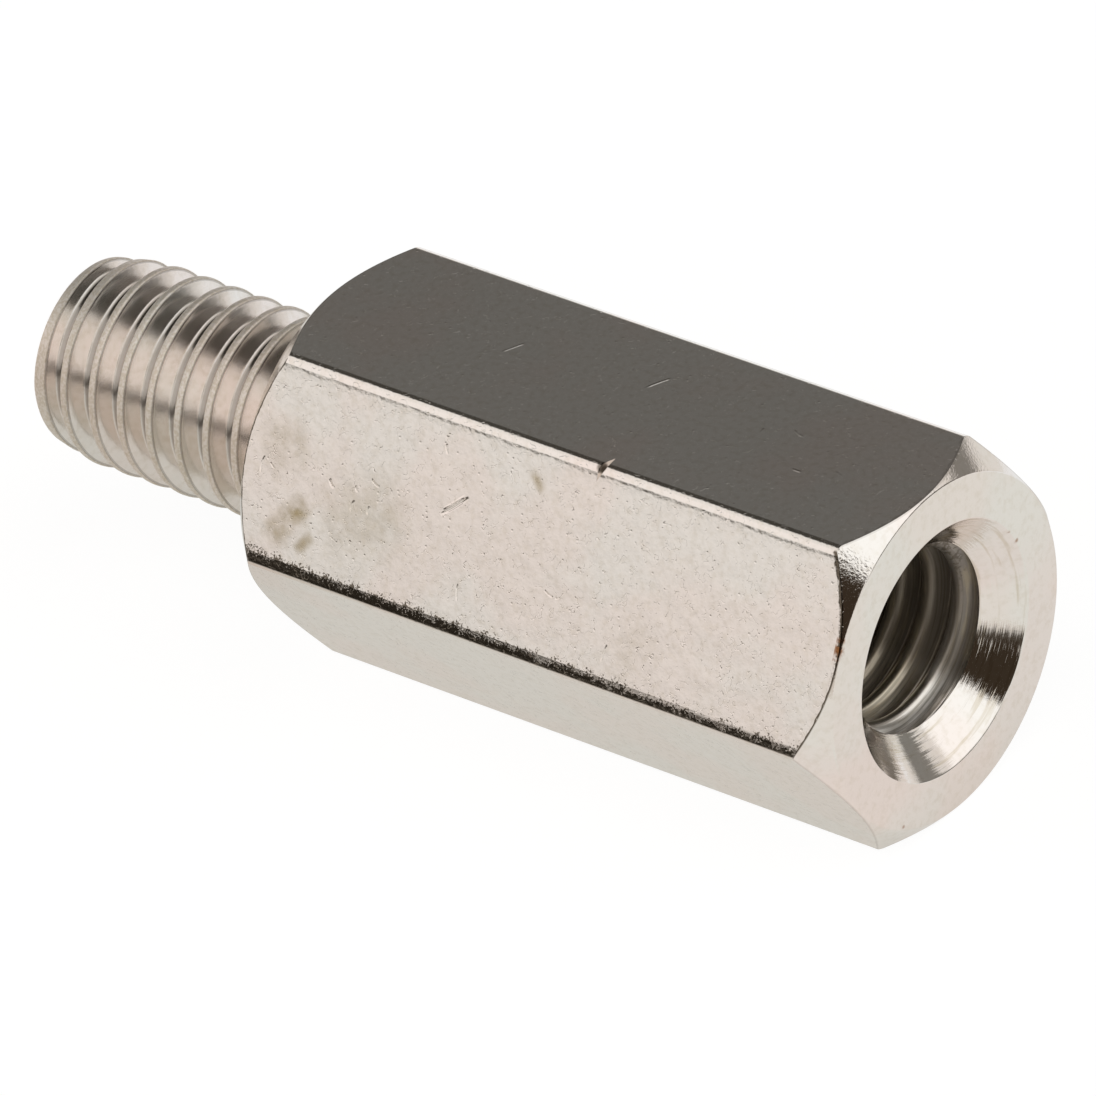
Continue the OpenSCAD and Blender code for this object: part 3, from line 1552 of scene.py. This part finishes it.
@dataclass
class Studio:
    """The pale floor, the light all round it, and the camera.

    Attributes:
        floor_r: Radius of the floor.
        base: The studio's colour between the panels.
        white: The colour of the background that the camera sees.
        panels: The panels, each laid over the ones before it.
        lens: The camera's focal length in millimetres, on a frame 36 mm wide.
        aim: The point that the camera looks at, in millimetres.
        distance: How far off the camera stands, in metres.
        azimuth: How far round the camera stands, in degrees.
        height: How far up it stands, in degrees.
        roll: How far it is rolled, in degrees.
    """

    floor_r: float = 0.9
    base: Colour = (0.82, 0.79, 0.75)
    white: Colour = (1.0, 1.0, 1.0)
    panels: tuple[Panel, ...] = (
        Panel(290, 150, -90, -8, 8, (0.66, 0.61, 0.55)),
        Panel(125, 56, -90, -4, 9, (1.08, 1.1, 1.13)),
        Panel(219, 58, 21, 48, 13, (1.03, 0.96, 0.92)),
        Panel(300, 90, 25, 100, 12, (1.06, 1.01, 0.96)),
        Panel(23, 52, 27, 75, 7, (1.16, 1.15, 1.13)),
        Panel(135, 86, 16, 100, 12, (0.15, 0.144, 0.135)),
        Panel(138, 80, 52, 100, 12, (0.055, 0.05, 0.043)),
        Panel(42, 56, 3, 13, 6, (0.09, 0.085, 0.075)),
        Panel(65, 28, 7, 17, 5, (0.24, 0.23, 0.21)),
        Panel(290, 130, 2, 7, 6, (0.08, 0.067, 0.054)),
        Panel(338, 28, 5, 34, 2.5, (0.042, 0.03, 0.02)),
    )
    lens: float = 491.89
    aim: tuple[float, float, float] = (-0.37618505, 1.65066307, 2.05440027)
    distance: float = 0.406504
    azimuth: float = 42.5908
    height: float = 35.7048
    roll: float = -8.6169

    def set_up(self) -> None:
        """Sets up the camera, the light and the floor."""
        self.set_camera()
        self.light()
        self.lay_floor()
        LOG.info("studio ready")

    def set_camera(self) -> None:
        """Sets the camera on a long lens, with the part rolled a little in its view."""
        data = bpy.data.cameras.new("camera")
        data.lens = self.lens
        data.sensor_width = 36.0
        data.clip_start = 0.01
        camera = bpy.data.objects.new("camera", data)
        bpy.context.scene.collection.objects.link(camera)
        azimuth, height = math.radians(self.azimuth), math.radians(self.height)
        level = Vector((math.sin(azimuth), -math.cos(azimuth), 0.0))
        back = level * math.cos(height) + Vector((0.0, 0.0, math.sin(height)))
        camera.matrix_world = (
            Matrix.Translation(Vector(self.aim) * MM + back * self.distance)
            @ back.to_track_quat("Z", "Y").to_matrix().to_4x4()
            @ Matrix.Rotation(math.radians(self.roll), 4, "Z")
        )
        bpy.context.scene.camera = camera
        bpy.context.scene.view_settings.view_transform = "Standard"

    def light(self) -> None:
        """Lights the scene from a world of soft panels, white to the camera alone."""
        world = bpy.data.worlds.new("studio")
        bpy.context.scene.world = world
        world.use_nodes = True
        # The panels are broad, so rays find them without being aimed at them
        world.cycles.sampling_method = "NONE"
        graph = Graph(world.node_tree)
        east, north, up = graph.split(graph.value("TexCoord", output="Generated"))
        degree = math.degrees(1.0)
        bearing = graph.math("ARCTAN2", north, east) * degree
        height = graph.math("ARCSINE", up) * degree
        colour: Value | Colour = self.base
        for panel in self.panels:
            apart = graph.math("WRAP", bearing - panel.azimuth, 180.0, -180.0)
            half = panel.width / 2
            across = abs(apart).ramp(half + panel.soft, half)
            over = height.ramp(panel.low - panel.soft, panel.low)
            under = height.ramp(panel.high + panel.soft, panel.high)
            colour = graph.mix(across * over * under, colour, panel.colour)
        seen = graph.value("LightPath", output="Is Camera Ray")
        colour = graph.mix(seen, colour, self.white)
        sky = graph.value("Background", {"Color": colour, "Strength": 1.0})
        graph.add("OutputWorld", {"Surface": sky})

    def lay_floor(self) -> None:
        """Lays the pale floor under the part."""
        deselect_all()
        bpy.ops.mesh.primitive_circle_add(vertices=96, radius=self.floor_r, fill_type="NGON")
        floor = bpy.context.object
        floor.name = "floor"
        floor.data.materials.append(PaleFloor().make())


@dataclass
class HexStandoff:
    """The whole part: body, stud and hole in one closed mesh, in nickel plate."""

    at: Lengths
    smooth_under: float = 35.0

    def build(self) -> bpy.types.Object:
        """Returns the finished piece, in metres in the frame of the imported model."""
        part = HexBody(self.at).build()
        Nick().punch(part)
        LOG.info("body: %d faces", len(part.data.polygons))
        combine(part, ThreadedStud(self.at).build(), Cut.JOIN)
        LOG.info("with its stud: %d faces", len(part.data.polygons))
        TappedHole(self.at).cut_into(part)
        LOG.info("with its hole: %d faces", len(part.data.polygons))
        self.smooth(part)
        self.lie_down(part)
        part.name = part.data.name = "standoff"
        return part

    def smooth(self, part: bpy.types.Object) -> None:
        """Shades the curved faces of the joined mesh smooth and keeps the flats flat."""
        take(part)
        bpy.ops.object.shade_smooth_by_angle(angle=math.radians(self.smooth_under))
        bpy.ops.object.modifier_add(type="WEIGHTED_NORMAL")
        step = part.modifiers[-1]
        step.keep_sharp = True
        step.weight = 100
        bpy.ops.object.modifier_apply(modifier=step.name)

    def lie_down(self, part: bpy.types.Object) -> None:
        """Sets the part on its flat, in metres, with its place in its mesh."""
        take(part)
        part.location = (0.0, 0.0, self.at.flat_r * MM)
        part.scale = (MM, MM, MM)
        bpy.ops.object.transform_apply(location=True, rotation=True, scale=True)

    def dress(self, part: bpy.types.Object) -> None:
        """Gives the finished mesh its finish."""
        part.data.materials.clear()
        part.data.materials.append(NickelPlate(self.at).make())


def main() -> None:
    """Builds the studio and the part, and keeps the imported model's part hidden beside it."""
    logging.basicConfig(level=logging.INFO, format="%(name)s: %(message)s")
    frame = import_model()
    Studio().set_up()
    standoff = HexStandoff(Lengths.of_frame(frame))
    part = standoff.build()
    standoff.dress(part)
    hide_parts("hex_standoff")
    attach(part, "root")
    LOG.info("standoff: %d vertices", len(part.data.vertices))


if __name__ == "__main__":
    main()
